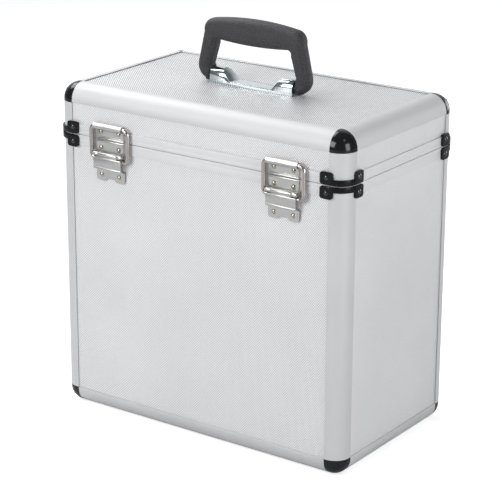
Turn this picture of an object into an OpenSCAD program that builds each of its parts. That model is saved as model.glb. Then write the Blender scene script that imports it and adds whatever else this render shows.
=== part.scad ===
// Record carrying case: framed panels, hinged lid, two draw latches and a folding handle.
// Millimetres. The origin is the middle of the underside: +Z is up and the latches face -Y.

/* [Case] */
// Outside width of the case, along X
case_width = 350; // [300:1:420]
// Outside depth of the case, along Y
case_depth = 203; // [160:1:260]
// Outside height of the closed case, without the handle
case_height = 350; // [300:1:430]
// Height of the lid, from the parting line to the top of the case
lid_height = 51; // [36:1:110]
// Gap that shows between the closed lid and the body
seam_gap = 0.6; // [0.3:0.1:1.2]

/* [Frame] */
// Width of an edge extrusion on each face it wraps
edge_width = 19; // [17:0.5:24]
// Outside radius of the rounded edges and ball corners
edge_radius = 17; // [10:0.5:17]
// Wall of the extrusion outside the panel
edge_skin = 1.2; // [0.8:0.1:2]
// Wall of the extrusion inside the panel
edge_flange = 1.2; // [0.8:0.1:2]
// Thickness of the panels
panel_thickness = 4; // [3:0.1:6]
// Depth that a panel reaches into the frame around it
panel_tuck = 6; // [4:0.1:7]
// Height of the rim around the opening of the lid
lid_rim = 10.5; // [10.5:0.1:13]
// Height of the rim around the opening of the body
body_rim = 11.5; // [10.5:0.1:14]
// Radius on the rim's outer edge at the parting line
rim_round = 1; // [0.4:0.1:1]
// Thickness of the soft lining
lining_thickness = 2.5; // [1.5:0.1:5]
// Distance from the parting line to the edge of the lining
lining_drop = 6; // [4:0.5:12]

/* [Sealing tongue] */
// Thickness of the tongue on the body's rim
tongue_width = 1.6; // [1:0.1:1.8]
// Height of the tongue above the body's rim
tongue_height = 3; // [1.5:0.1:3.2]
// Gap around the tongue in the lid's groove
tongue_clearance = 0.4; // [0.3:0.05:0.6]
// Wall of the lid's rim outside the groove
tongue_wall = 2.8; // [2:0.1:2.9]

/* [Corner clamps] */
// Distance of a clamp's rivets past the end of the post
clamp_rivet_inset = 2; // [1.8:0.1:5]
// Width of the riveted lobe at each end of a clamp
clamp_lobe_width = 14; // [10:0.5:15]
// Height of the riveted lobe
clamp_lobe_height = 12.5; // [11:0.5:15]
// Height of the strap that joins the two lobes
clamp_strap = 5.5; // [4:0.5:9]
// Thickness of the clamp
clamp_thickness = 2; // [1.2:0.1:2.5]
// Radius of the lobe's corners
clamp_round = 3; // [1:0.5:4]
// Distance of the clamp's straight edge from the end of the rim
clamp_setback = 0.4; // [0:0.1:1]

/* [Rivets] */
// Diameter of a rivet's shank
rivet_diameter = 3; // [2:0.1:4]
// Diameter of a rivet's domed head
rivet_head = 4.6; // [4.2:0.1:5]
// Height of the domed head
rivet_dome = 1.1; // [0.6:0.1:1.3]
// Gap around a shank in its hole
rivet_clearance = 0.1; // [0.05:0.01:0.15]

/* [Latches] */
// Distance of each latch from the side of the case, to its middle
latch_inset = 69; // [55:1:110]
// Width of the latch plates
latch_width = 36; // [32:0.5:44]
// Thickness of the latch plates
latch_plate = 1; // [0.8:0.1:1.4]
// Spacing of the two rivets in a row
latch_rivet_spacing = 22.5; // [18:0.5:24]
// Distance of the nearest rivet rows from the parting line
latch_rivet_rise = 8.2; // [7.8:0.1:8.3]
// Distance of the lowest rivet row below the parting line
latch_rivet_drop = 36.8; // [35:0.1:40]
// Height of the bail's pivot above the parting line
bail_pivot_rise = 14.2; // [14:0.1:18]
// Distance of the lever's pin below the parting line
lever_pin_drop = 14.3; // [13.8:0.1:16]
// Distance of the lever's pin from the front face
lever_pin_proud = 4.8; // [4.7:0.1:5.4]
// Distance of the lever's lower edge below the parting line
lever_drop = 28.5; // [26:0.5:30]
// Distance of the base plate's lower end below the parting line
base_drop = 43; // [42.5:0.1:46]
// Height of the notch between the base plate's two lobes
base_notch = 2.8; // [1:0.1:3.5]
// Thickness of the bail's wire
bail_wire = 4.4; // [3:0.1:4.5]
// Gap between the latch plates and each leg of the bail
bail_side_gap = 2.9; // [2:0.1:6]
// Sideways play that the bails have taken up
bail_shift = 1.3; // [0:0.1:1.4]
// Radius of the bail's corners, at the middle of the wire
bail_round = 5; // [3:0.1:5]
// Gap around the bail in its pivot
bail_clearance = 0.25; // [0.15:0.05:0.3]
// Diameter of the lever's pin
lever_pin = 2.4; // [2:0.1:2.6]
// Length of each ear that holds the lever's pin
ear_length = 6; // [4:0.5:7]
// Radius of the bead along the lever's lower edge
lever_bead = 1.2; // [0.8:0.1:1.4]
// Radius of the beads where the plates face each other at the parting line
plate_bead = 1; // [0.5:0.1:1]
// Gap between parts of the latch that turn past each other
latch_gap = 0.3; // [0.2:0.05:0.4]

/* [Hinges] */
// Distance of each hinge from the side of the case, to its middle
hinge_inset = 75; // [54:1:110]
// Length of a hinge along X
hinge_length = 42; // [30:1:50]
// Height of a hinge leaf above or below the pin
hinge_leaf = 16; // [13:0.5:24]
// Thickness of a hinge leaf
hinge_plate = 1.5; // [1:0.1:2]
// Diameter of the hinge pin
hinge_pin = 3.2; // [2.5:0.1:4]
// Gap between the knuckles, and from the knuckles to the case
hinge_gap = 0.3; // [0.2:0.05:0.5]
// Spacing of a leaf's rivets
hinge_rivet_spacing = 15; // [10:0.5:18]
// Radial clearance of each pin in its bore
pin_clearance = 0.05; // [0.02:0.01:0.1]

/* [Handle] */
// Length of the handle over its feet
handle_length = 136; // [120:1:150]
// Height of the handle above the top panel
handle_height = 70; // [66:1:80]
// Thickness of the grip, along Y
grip_thickness = 16; // [14:0.5:18]
// Height of the opening under the middle of the grip
hand_height = 43; // [40:1:46]
// Height of the handle's pivot above the top panel
handle_pivot_rise = 8; // [7.6:0.1:9]
// Diameter of the handle's pivot pins
handle_pin = 8; // [6:0.1:8]
// Length of each pivot pin
handle_pin_length = 22; // [18:0.5:23]
// Length of the handle bracket along X
bracket_length = 101; // [98:1:104]
// Outside radius of the bracket's barrels
barrel_radius = 8.5; // [7:0.1:9]
// Length of each barrel's full-height part
barrel_length = 14; // [13:0.5:17]
// Length of the slope from the barrel down to the foot of the bracket
barrel_slope = 14; // [10:0.5:18]
// Height of the bracket's flat strip above the top panel
bracket_rise = 4; // [3:0.1:5]
// Thickness of the bracket's sheet
bracket_plate = 1.5; // [1:0.1:2]
// Distance of each bracket screw from the middle
bracket_screw_offset = 34; // [32:0.5:35]
// Diameter of the bracket screws
bracket_screw = 3.5; // [3:0.1:4]
// Diameter of the bracket screws' flat heads
bracket_screw_head = 8; // [7:0.1:10]
// Gap between the handle's feet and the ends of the bracket, and behind the pivot pins
handle_gap = 0.4; // [0.3:0.05:0.6]

/* [Hidden] */
$fn = 48;
cut = 1; // how far a cutting shape runs past the face it cuts

// Frame
leg = edge_skin + panel_thickness + edge_flange;
half_width = case_width / 2;
half_depth = case_depth / 2;
seam_height = case_height - lid_height;
span_x = case_width - 2 * edge_width;
span_y = case_depth - 2 * edge_width;
body_top = seam_height - seam_gap / 2;
lid_bottom = seam_height + seam_gap / 2;
body_panel_base = edge_width;
body_panel_span = body_top - body_rim - edge_width;
lid_panel_base = lid_bottom + lid_rim;
lid_panel_span = case_height - edge_width - lid_panel_base;
groove_width = tongue_width + 2 * tongue_clearance;
groove_depth = tongue_height - seam_gap + tongue_clearance;
tongue_end = 1;

// Rivets
shank = rivet_diameter / 2;
rivet_hole = shank + rivet_clearance;
dome_radius = (pow(rivet_head / 2, 2) + pow(rivet_dome, 2)) / (2 * rivet_dome);
clamp_rivet_reach = edge_width + clamp_rivet_inset;
clamp_rivet_lift = 1;
clamp_rivet_rise = seam_gap / 2 + clamp_lobe_height / 2 + clamp_rivet_lift;

// Latches: heights are measured from the parting line and distances from the front face
latch_offset = half_width - latch_inset;
bail_radius = bail_wire / 2;
bail_width = latch_width + 2 * (bail_side_gap + bail_wire);
roll_radius = latch_plate + bail_clearance + bail_radius;
lever_side_gap = 0.5;
lever_bore = lever_pin / 2 + pin_clearance;
knuckle_radius = lever_bore + latch_plate;
bail_seat = -lever_pin_drop - knuckle_radius - bail_radius - latch_gap;
lever_outer = lever_pin_proud + knuckle_radius;
lever_inner = lever_outer - latch_plate;
lever_width = latch_width - 2 * lever_side_gap;
lever_shoulder = -lever_pin_drop - knuckle_radius - latch_gap;
knuckle_half = latch_width / 2 - ear_length - latch_gap;
seat_top = bail_seat - bail_radius - latch_gap;
seat_inset = 1.5;
seat_half = knuckle_half - seat_inset;
seat_reach = 2.2;
lobe_width = 12.5;
lobe_round = 3.5;
strike_foot = seam_gap / 2 + plate_bead;
pin_head_lip = 0.6;
pin_head_length = 0.7;

// Hinges
hinge_offset = half_width - hinge_inset;
hinge_bore = hinge_pin / 2 + pin_clearance;
hinge_radius = hinge_bore + hinge_plate;
hinge_proud = hinge_radius + hinge_gap;
hinge_knuckle = (hinge_length - 2 * hinge_gap) / 3;
hinge_rivet_inset = 2.6;
hinge_rivet_rise = seam_gap / 2 + min(lid_rim, body_rim) - hinge_rivet_inset;
hinge_head_length = 1;

// Handle: heights are measured from the top panel's face
panel_face = case_height - edge_skin;
barrel_top = handle_pivot_rise + barrel_radius;
barrel_inner_end = bracket_length / 2 - barrel_length;
handle_bore = handle_pin / 2 + pin_clearance;
barrel_end_wall = 1;
pin_bore_depth = barrel_length - barrel_end_wall;
handle_pin_start = barrel_inner_end + barrel_end_wall + handle_gap;
foot_inner = bracket_length / 2 + handle_gap;
foot_clearance = 0.5;
foot_radius = handle_pivot_rise - foot_clearance;
foot_flare = 14;
screw_depth = 5;
screw_head_gap = 0.2;
screw_head_height = edge_flange - screw_head_gap;

// Grip outline, seen from the front: half lengths along X and heights along Z
foot_corner = 15;
foot_lift = 1;
foot_base = foot_clearance + foot_lift;
shoulder_round = 12;
shoulder_inset = 19.6;
shoulder_drop = 15.7;
crown_radius = 326;
under_radius = 408;
leg_angle = 10;
crown_angle = 78;
leg_step = 2;
leg_flare = 1.2;
under_inset = 8.8;
under_half = bracket_length / 2 - under_inset;
under_round = 4;
under_angle = 15;
arc_steps = 10;

// ---------- Shared shapes and places ----------

// Square with its corner at the origin rounded
module rounded_corner_square(size, radius) {
  difference() {
    square(size);
    difference() {
      square(radius);
      translate([radius, radius]) circle(radius);
    }
  }
}

// Rectangle about the origin with four round corners
module rounded_plate(width, height, radius) {
  square([width, height - 2 * radius], center = true);
  square([width - 2 * radius, height], center = true);
  for (x = [-1, 1], y = [-1, 1])
    translate([x * (width / 2 - radius), y * (height / 2 - radius)]) circle(radius);
}

// Bar along X, centred
module bar_x(radius, length) {
  translate([-length / 2, 0, 0]) rotate([0, 90, 0]) cylinder(r = radius, h = length);
}

// Places on the faces: local X runs along the face, local Y up and local Z outward
module on_front(x, z) {
  translate([x, -half_depth, z]) rotate([90, 0, 0]) children();
}
module on_back(x, z) {
  translate([x, half_depth, z]) rotate([90, 0, 180]) children();
}
module on_right(y, z) {
  translate([half_width, y, z]) rotate([90, 0, 90]) children();
}

// Puts a shape made at the front left corner there, or at another corner
module at_corner(right, back) {
  mirror([right, 0, 0]) mirror([0, back, 0]) translate([-half_width, -half_depth, 0]) children();
}
module at_all_corners() {
  for (right = [0, 1], back = [0, 1]) at_corner(right, back) children();
}

// Turns a piece of the body's frame upside down for the lid
module lid_side_up() {
  translate([0, 0, case_height]) mirror([0, 0, 1]) children();
}

// ---------- Frame ----------

// Section of an edge extrusion: two legs, each with a channel for a panel
module edge_section() {
  difference() {
    intersection() {
      rounded_corner_square(edge_width, edge_radius);
      union() {
        square([edge_width, leg]);
        square([leg, edge_width]);
      }
    }
    translate([edge_width - panel_tuck, edge_skin]) square([panel_tuck + cut, panel_thickness]);
    translate([edge_skin, edge_width - panel_tuck]) square([panel_thickness, panel_tuck + cut]);
  }
}

// Bottom edge along X, at the front
module edge_x() {
  translate([-span_x / 2, -half_depth, 0])
    rotate([90, 0, 90]) linear_extrude(span_x) edge_section();
}

// Bottom edge along Y, on the left
module edge_y() {
  translate([-half_width, span_y / 2, 0])
    rotate([90, 0, 0]) linear_extrude(span_y) edge_section();
}

module post(bottom, top) {
  translate([0, 0, bottom]) linear_extrude(top - bottom) edge_section();
}

module body_post(right, back) {
  color("silver") at_corner(right, back) post(edge_width, body_top);
}

module lid_post(right, back) {
  color("silver") at_corner(right, back) post(lid_bottom, case_height - edge_width);
}

// Hollow corner piece at the front left bottom corner, flush with the three edges it joins
module ball_corner() {
  difference() {
    intersection() {
      cube(edge_width);
      union() {
        translate([edge_radius, edge_radius, edge_radius]) {
          sphere(edge_radius);
          cylinder(r = edge_radius, h = edge_radius);
          rotate([0, 90, 0]) cylinder(r = edge_radius, h = edge_radius);
          rotate([-90, 0, 0]) cylinder(r = edge_radius, h = edge_radius);
        }
        translate([0, edge_radius, edge_radius]) cube(edge_width);
        translate([edge_radius, 0, edge_radius]) cube(edge_width);
        translate([edge_radius, edge_radius, 0]) cube(edge_width);
      }
    }
    translate([leg, leg, leg]) cube(edge_width);
  }
}

// Rim section: depth from the face along X, distance from the parting line along Y
module rim_section(height) {
  difference() {
    square([leg, height]);
    translate([edge_skin, height - panel_tuck]) square([panel_thickness, panel_tuck + cut]);
    difference() {
      square(rim_round);
      translate([rim_round, rim_round]) circle(rim_round);
    }
  }
}

// Rims are drawn at the front, their face on Y = 0 and growing up from Z = 0
module plain_rim(height, length) {
  translate([-length / 2, 0, 0]) rotate([90, 0, 90]) linear_extrude(length) rim_section(height);
}

// Body rim, with the tongue above it where it has one
module body_rim_piece(length, with_tongue) {
  mirror([0, 0, 1]) plain_rim(body_rim, length);
  if (with_tongue)
    translate([tongue_end - length / 2, tongue_wall + tongue_clearance, -rim_round])
      cube([length - 2 * tongue_end, tongue_width, tongue_height + rim_round]);
}

// Lid rim, with the groove for the tongue where it has one
module lid_rim_piece(length, with_groove) {
  difference() {
    plain_rim(lid_rim, length);
    if (with_groove)
      translate([-length / 2 - cut, tongue_wall, -cut])
        cube([length + 2 * cut, groove_width, groove_depth + cut]);
  }
}

// Turns a rim from the front to another side and brings it up to a height
module rim_place(side, z) {
  if (side == "front") translate([0, -half_depth, z]) children();
  if (side == "back") translate([0, half_depth, z]) rotate([0, 0, 180]) children();
  if (side == "left") translate([-half_width, 0, z]) rotate([0, 0, -90]) children();
  if (side == "right") translate([half_width, 0, z]) rotate([0, 0, 90]) children();
}

module body_rim_side(side) {
  length = side == "front" || side == "back" ? span_x : span_y;
  color("silver") difference() {
    rim_place(side, body_top) body_rim_piece(length, side != "back");
    body_holes();
  }
}

module lid_rim_side(side) {
  length = side == "front" || side == "back" ? span_x : span_y;
  color("silver") difference() {
    rim_place(side, lid_bottom) lid_rim_piece(length, side != "back");
    lid_holes();
  }
}

// ---------- Panels and linings ----------

// Panel that fills an opening and tucks into the frame, notched at its corners
module panel(width, height) {
  linear_extrude(panel_thickness) {
    square([width + 2 * panel_tuck, height], center = true);
    square([width, height + 2 * panel_tuck], center = true);
  }
}

module side_panel(side, base, span) {
  middle = base + span / 2;
  inset = -edge_skin - panel_thickness;
  if (side == "front") on_front(0, middle) translate([0, 0, inset]) panel(span_x, span);
  if (side == "back") on_back(0, middle) translate([0, 0, inset]) panel(span_x, span);
  if (side == "right") on_right(0, middle) translate([0, 0, inset]) panel(span_y, span);
  if (side == "left") mirror([1, 0, 0]) side_panel("right", base, span);
}

module body_panel(side) {
  color("whitesmoke") difference() {
    side_panel(side, body_panel_base, body_panel_span);
    body_holes();
  }
}

module lid_panel(side) {
  color("whitesmoke") difference() {
    side_panel(side, lid_panel_base, lid_panel_span);
    lid_holes();
  }
}

module bottom_panel() {
  color("whitesmoke") translate([0, 0, edge_skin]) panel(span_x, span_y);
}

module lid_top_panel() {
  color("whitesmoke") difference() {
    translate([0, 0, panel_face - panel_thickness]) panel(span_x, span_y);
    bracket_screw_places() cylinder(r = bracket_screw / 2 + rivet_clearance, h = 3 * leg, center = true);
  }
}

// Open box that lines the inside from the floor to just short of the parting line
module lining(depth) {
  width = case_width - 2 * leg;
  length = case_depth - 2 * leg;
  translate([-width / 2, -length / 2, leg]) difference() {
    cube([width, length, depth]);
    translate([lining_thickness, lining_thickness, lining_thickness])
      cube([width - 2 * lining_thickness, length - 2 * lining_thickness, depth]);
  }
}

module body_lining() {
  color("dimgray") lining(body_top - leg - lining_drop);
}

module lid_lining() {
  color("dimgray") lid_side_up() lining(case_height - lid_bottom - leg - lining_drop);
}

// ---------- Rivets ----------

// Domed rivet: local Z = 0 is the surface under the head, and the shank runs down to a depth
module rivet(depth) {
  intersection() {
    translate([0, 0, rivet_dome - dome_radius]) sphere(dome_radius);
    cylinder(r = rivet_head, h = 2 * rivet_dome);
  }
  translate([0, 0, -depth]) cylinder(r = shank, h = depth + rivet_dome / 2);
}

// A through hole for a rivet
module rivet_cutter() {
  translate([0, 0, -2 * leg]) cylinder(r = rivet_hole, h = 4 * leg);
}

// Rivet places on a corner clamp, one on each face beside the corner, rise above or below the seam
module clamp_rivet_places(rise) {
  for (right = [0, 1], back = [0, 1]) mirror([right, 0, 0]) mirror([0, back, 0]) {
    on_front(-half_width + clamp_rivet_reach, seam_height + rise) children();
    translate([-half_width, -half_depth + clamp_rivet_reach, seam_height + rise])
      rotate([90, 0, -90]) children();
  }
}

module latch_rivet_row(height) {
  for (x = [-latch_offset, latch_offset], side = [-1, 1])
    on_front(x + side * latch_rivet_spacing / 2, seam_height + height) children();
}

module hinge_rivet_row(height) {
  for (x = [-hinge_offset, hinge_offset], side = [-1, 0, 1])
    on_back(x + side * hinge_rivet_spacing, seam_height + height) children();
}

module body_holes() {
  clamp_rivet_places(-clamp_rivet_rise) rivet_cutter();
  latch_rivet_row(-latch_rivet_rise) rivet_cutter();
  latch_rivet_row(-latch_rivet_drop) rivet_cutter();
  hinge_rivet_row(-hinge_rivet_rise) rivet_cutter();
}

module lid_holes() {
  clamp_rivet_places(clamp_rivet_rise) rivet_cutter();
  latch_rivet_row(latch_rivet_rise) rivet_cutter();
  hinge_rivet_row(hinge_rivet_rise) rivet_cutter();
}

module body_rivets() {
  color("lightgray") {
    latch_rivet_row(-latch_rivet_rise) translate([0, 0, latch_plate]) rivet(latch_plate + leg);
    latch_rivet_row(-latch_rivet_drop) translate([0, 0, latch_plate]) rivet(latch_plate + leg);
    hinge_rivet_row(-hinge_rivet_rise) translate([0, 0, hinge_plate]) rivet(hinge_plate + leg);
  }
}

module lid_rivets() {
  color("lightgray") {
    latch_rivet_row(latch_rivet_rise) translate([0, 0, latch_plate]) rivet(latch_plate + leg);
    hinge_rivet_row(hinge_rivet_rise) translate([0, 0, hinge_plate]) rivet(hinge_plate + leg);
  }
}

module clamp_rivets(rise) {
  color("black") clamp_rivet_places(rise)
    translate([0, 0, clamp_thickness]) rivet(clamp_thickness + leg);
}

// ---------- Corner clamps ----------

// Half clamp at the front left corner, its straight edge on Z = 0 and its lobes above it
module corner_clamp() {
  linear_extrude(clamp_strap) difference() {
    translate([-clamp_thickness, -clamp_thickness])
      rounded_corner_square(clamp_rivet_reach + clamp_thickness, edge_radius + clamp_thickness);
    rounded_corner_square(clamp_rivet_reach + cut, edge_radius);
  }
  translate([clamp_rivet_reach, 0, clamp_lobe_height / 2]) rotate([90, 0, 0])
    linear_extrude(clamp_thickness) rounded_plate(clamp_lobe_width, clamp_lobe_height, clamp_round);
  translate([0, clamp_rivet_reach, clamp_lobe_height / 2]) rotate([90, 0, -90])
    linear_extrude(clamp_thickness) rounded_plate(clamp_lobe_width, clamp_lobe_height, clamp_round);
}

module body_corner_clamps() {
  color("black") difference() {
    at_all_corners() translate([0, 0, body_top - clamp_setback]) mirror([0, 0, 1]) corner_clamp();
    clamp_rivet_places(-clamp_rivet_rise) rivet_cutter();
  }
}

module lid_corner_clamps() {
  color("black") difference() {
    at_all_corners() translate([0, 0, lid_bottom + clamp_setback]) corner_clamp();
    clamp_rivet_places(clamp_rivet_rise) rivet_cutter();
  }
}

// ---------- Latches, drawn about the parting line: Y is up and Z is outward ----------

// Plate on the lid whose rolled top edge holds the bail
module strike_plate() {
  difference() {
    union() {
      translate([-latch_width / 2, strike_foot, 0])
        cube([latch_width, bail_pivot_rise - strike_foot, latch_plate]);
      translate([0, strike_foot, plate_bead]) bar_x(plate_bead, latch_width);
      translate([0, bail_pivot_rise, roll_radius]) bar_x(roll_radius, latch_width);
    }
    translate([0, bail_pivot_rise, roll_radius])
      bar_x(bail_radius + bail_clearance, latch_width + 2 * cut);
    for (side = [-1, 1])
      translate([side * latch_rivet_spacing / 2, latch_rivet_rise, 0]) rivet_cutter();
  }
}

// Wire loop that hangs from the strike plate and is drawn down by the lever
module bail() {
  half = bail_width / 2 - bail_radius;
  leg_length = bail_pivot_rise - bail_seat - 2 * bail_round;
  middle = (bail_pivot_rise + bail_seat) / 2;
  translate([bail_shift, middle, roll_radius]) {
    for (end = [-1, 1])
      translate([0, end * (leg_length / 2 + bail_round), 0]) bar_x(bail_radius, 2 * (half - bail_round));
    for (side = [-1, 1])
      translate([side * half, leg_length / 2, 0])
        rotate([90, 0, 0]) cylinder(r = bail_radius, h = leg_length);
    for (side = [0, 1], end = [0, 1])
      mirror([side, 0, 0]) mirror([0, end, 0])
        translate([half - bail_round, leg_length / 2, 0])
          rotate_extrude(angle = 90) translate([bail_round, 0]) circle(bail_radius);
  }
}

// Outline of the plate on the body, with two round lobes at its lower end
module base_outline() {
  lobe_height = 3 * lobe_round;
  translate([-latch_width / 2, base_notch - base_drop])
    square([latch_width, base_drop - base_notch - strike_foot]);
  for (side = [-1, 1])
    translate([side * (latch_width - lobe_width) / 2, lobe_height / 2 - base_drop])
      rounded_plate(lobe_width, lobe_height, lobe_round);
}

// Plate on the body with the two ears that hold the lever's pin
module latch_base() {
  ear_middle = (latch_width - ear_length) / 2;
  difference() {
    union() {
      linear_extrude(latch_plate) base_outline();
      translate([0, -strike_foot, plate_bead]) bar_x(plate_bead, latch_width);
      for (side = [-1, 1])
        translate([side * ear_middle, -lever_pin_drop, 0]) {
          translate([0, 0, lever_pin_proud]) bar_x(knuckle_radius, ear_length);
          translate([-ear_length / 2, -knuckle_radius, 0])
            cube([ear_length, 2 * knuckle_radius, lever_pin_proud]);
        }
    }
    translate([0, -lever_pin_drop, lever_pin_proud]) bar_x(lever_bore, latch_width + 2 * cut);
    for (side = [-1, 1], height = [-latch_rivet_rise, -latch_rivet_drop])
      translate([side * latch_rivet_spacing / 2, height, 0]) rivet_cutter();
  }
}

// Lever: a knuckle on the pin, a flat plate, a bead to grip and a seat behind the bail's wire
module lever() {
  difference() {
    union() {
      translate([0, -lever_pin_drop, lever_pin_proud]) bar_x(knuckle_radius, 2 * knuckle_half);
      translate([-knuckle_half, lever_shoulder, lever_inner])
        cube([2 * knuckle_half, -lever_pin_drop - lever_shoulder, latch_plate]);
      translate([-lever_width / 2, -lever_drop, lever_inner])
        cube([lever_width, lever_drop + lever_shoulder, latch_plate]);
      translate([0, -lever_drop, lever_inner]) bar_x(lever_bead, lever_width);
      translate([-seat_half, seat_top - latch_plate, seat_reach])
        cube([2 * seat_half, latch_plate, lever_outer - seat_reach - latch_plate / 2]);
    }
    translate([0, -lever_pin_drop, lever_pin_proud]) bar_x(lever_bore, latch_width);
  }
}

module lever_pin_piece() {
  translate([0, -lever_pin_drop, lever_pin_proud]) {
    bar_x(lever_pin / 2, latch_width + 2 * pin_clearance);
    for (side = [-1, 1])
      translate([side * (latch_width / 2 + pin_clearance + pin_head_length / 2), 0, 0])
        bar_x(lever_pin / 2 + pin_head_lip, pin_head_length);
  }
}

// ---------- Hinges, drawn about the parting line: Y is up and Z is outward ----------

// Leaf above the pin, with its own knuckles; places counts them from the middle knuckle
module hinge_leaf_piece(places) {
  pitch = hinge_knuckle + hinge_gap;
  foot = hinge_radius + hinge_gap;
  difference() {
    union() {
      translate([-hinge_length / 2, foot, 0]) cube([hinge_length, hinge_leaf - foot, hinge_plate]);
      for (place = places)
        translate([place * pitch, 0, 0]) {
          translate([0, 0, hinge_proud]) bar_x(hinge_radius, hinge_knuckle);
          translate([-hinge_knuckle / 2, 0, hinge_gap])
            cube([hinge_knuckle, foot + cut, hinge_plate - hinge_gap]);
        }
    }
    translate([0, 0, hinge_proud]) bar_x(hinge_bore, hinge_length + 2 * cut);
    for (side = [-1, 0, 1])
      translate([side * hinge_rivet_spacing, hinge_rivet_rise, 0]) rivet_cutter();
  }
}

module lid_hinge_leaves() {
  color("lightgray") for (x = [-hinge_offset, hinge_offset])
    on_back(x, seam_height) hinge_leaf_piece([0]);
}

module body_hinge_leaves() {
  color("lightgray") for (x = [-hinge_offset, hinge_offset])
    on_back(x, seam_height) mirror([0, 1, 0]) hinge_leaf_piece([-1, 1]);
}

module hinge_pins() {
  reach = hinge_length / 2 + pin_clearance;
  color("gainsboro") for (x = [-hinge_offset, hinge_offset])
    on_back(x, seam_height) translate([0, 0, hinge_proud]) {
      bar_x(hinge_pin / 2, 2 * reach);
      for (side = [-1, 1])
        translate([side * (reach + hinge_head_length / 2), 0, 0])
          bar_x(hinge_pin / 2 + pin_head_lip, hinge_head_length);
    }
}

// ---------- Handle, drawn about the middle of the top panel's face ----------

module bracket_screw_places() {
  for (side = [-1, 1]) translate([side * bracket_screw_offset, 0, panel_face]) children();
}

// Arched barrel section, seen along X
module barrel_section() {
  intersection() {
    translate([0, handle_pivot_rise]) circle(barrel_radius);
    translate([-barrel_radius, 0]) square([2 * barrel_radius, barrel_top]);
  }
  translate([-barrel_radius, 0]) square([2 * barrel_radius, handle_pivot_rise]);
}

// One end of the bracket: a barrel that slopes down to the flat strip
module bracket_barrel() {
  slope_foot = barrel_inner_end - barrel_slope;
  difference() {
    translate([slope_foot, 0, 0]) rotate([90, 0, 90])
      linear_extrude(bracket_length / 2 - slope_foot) barrel_section();
    translate([0, 2 * barrel_radius, 0]) rotate([90, 0, 0])
      linear_extrude(4 * barrel_radius)
        polygon([
          [slope_foot - cut, bracket_plate / 2], [slope_foot, bracket_plate / 2],
          [barrel_inner_end, barrel_top], [barrel_inner_end, barrel_top + cut],
          [slope_foot - cut, barrel_top + cut]
        ]);
    translate([bracket_length / 2 - pin_bore_depth, 0, handle_pivot_rise])
      rotate([0, 90, 0]) cylinder(r = handle_bore, h = pin_bore_depth + cut);
  }
}

// The strip between the barrels is a channel, open towards the panel
module handle_bracket() {
  channel_half = barrel_inner_end - barrel_slope;
  channel_width = 2 * (barrel_radius - bracket_plate);
  color("gainsboro") difference() {
    translate([0, 0, panel_face]) {
      translate([-barrel_inner_end, -barrel_radius, 0])
        cube([2 * barrel_inner_end, 2 * barrel_radius, bracket_rise]);
      for (side = [0, 1]) mirror([side, 0, 0]) bracket_barrel();
    }
    translate([-channel_half, -channel_width / 2, panel_face - cut])
      cube([2 * channel_half, channel_width, bracket_rise - bracket_plate + cut]);
    bracket_screw_places()
      translate([0, 0, -cut]) cylinder(r = bracket_screw / 2 + pin_clearance, h = screw_depth + 2 * cut);
  }
}

module bracket_screws() {
  color("gray") bracket_screw_places() {
    translate([0, 0, -panel_thickness]) cylinder(r = bracket_screw / 2, h = panel_thickness + screw_depth);
    translate([0, 0, -panel_thickness - screw_head_height])
      cylinder(r = bracket_screw_head / 2, h = screw_head_height);
  }
}

// Points along an arc
function arc(middle, radius, from, to) = [
  for (i = [0 : arc_steps])
    let (angle = from + (to - from) * i / arc_steps)
      [middle[0] + radius * cos(angle), middle[1] + radius * sin(angle)]
];

// Points along a shallow curve, from one half length to another
function shallow(from, to, height, radius, sign) = [
  for (i = [0 : arc_steps])
    let (x = from + (to - from) * i / arc_steps)
      [x, height + sign * (radius - sqrt(radius * radius - x * x))]
];

// Right half of the grip's outline, seen from the front, from the top down round the foot
function grip_right() =
  let (
    shoulder = [handle_length / 2 - shoulder_inset, handle_height - shoulder_drop],
    foot = [handle_length / 2 - foot_corner, foot_base + foot_corner],
    under_end = hand_height + under_radius - sqrt(pow(under_radius, 2) - pow(under_half, 2))
  )
  concat(
    shallow(0, shoulder[0], handle_height, crown_radius, -1),
    arc(shoulder, shoulder_round, crown_angle, -leg_angle),
    arc(foot, foot_corner, leg_angle, -90),
    [
      [foot_inner, foot_base], [foot_inner, barrel_top],
      [foot_inner + leg_flare, barrel_top + leg_step]
    ],
    arc([under_half, under_end - under_round], under_round, -under_angle, 90),
    shallow(under_half, 0, hand_height, under_radius, 1)
  );

// Whole outline: the right half, then the same points mirrored on the way back
module grip_outline() {
  right = grip_right();
  polygon(concat(right, [for (i = [len(right) - 2 : -1 : 1]) [-right[i][0], right[i][1]]]));
}

// Thickness of the grip seen from the side, about the pivot
module grip_side() {
  circle(foot_radius);
  polygon([
    [foot_radius, 0], [grip_thickness / 2, foot_flare], [grip_thickness / 2, handle_height],
    [-grip_thickness / 2, handle_height], [-grip_thickness / 2, foot_flare], [-foot_radius, 0]
  ]);
}

module handle_grip() {
  color([0.2, 0.2, 0.21]) translate([0, 0, panel_face]) difference() {
    intersection() {
      translate([0, handle_length / 2, 0]) rotate([90, 0, 0])
        linear_extrude(handle_length) grip_outline();
      translate([-handle_length, 0, handle_pivot_rise])
        rotate([90, 0, 90]) linear_extrude(2 * handle_length) grip_side();
    }
    translate([0, 0, handle_pivot_rise])
      bar_x(handle_bore, 2 * (handle_pin_start + handle_pin_length + pin_clearance));
  }
}

module handle_pivots() {
  color("gainsboro") for (side = [0, 1]) mirror([side, 0, 0])
    translate([handle_pin_start, 0, panel_face + handle_pivot_rise])
      rotate([0, 90, 0]) cylinder(r = handle_pin / 2, h = handle_pin_length);
}

// ---------- Drawing ----------

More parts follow.
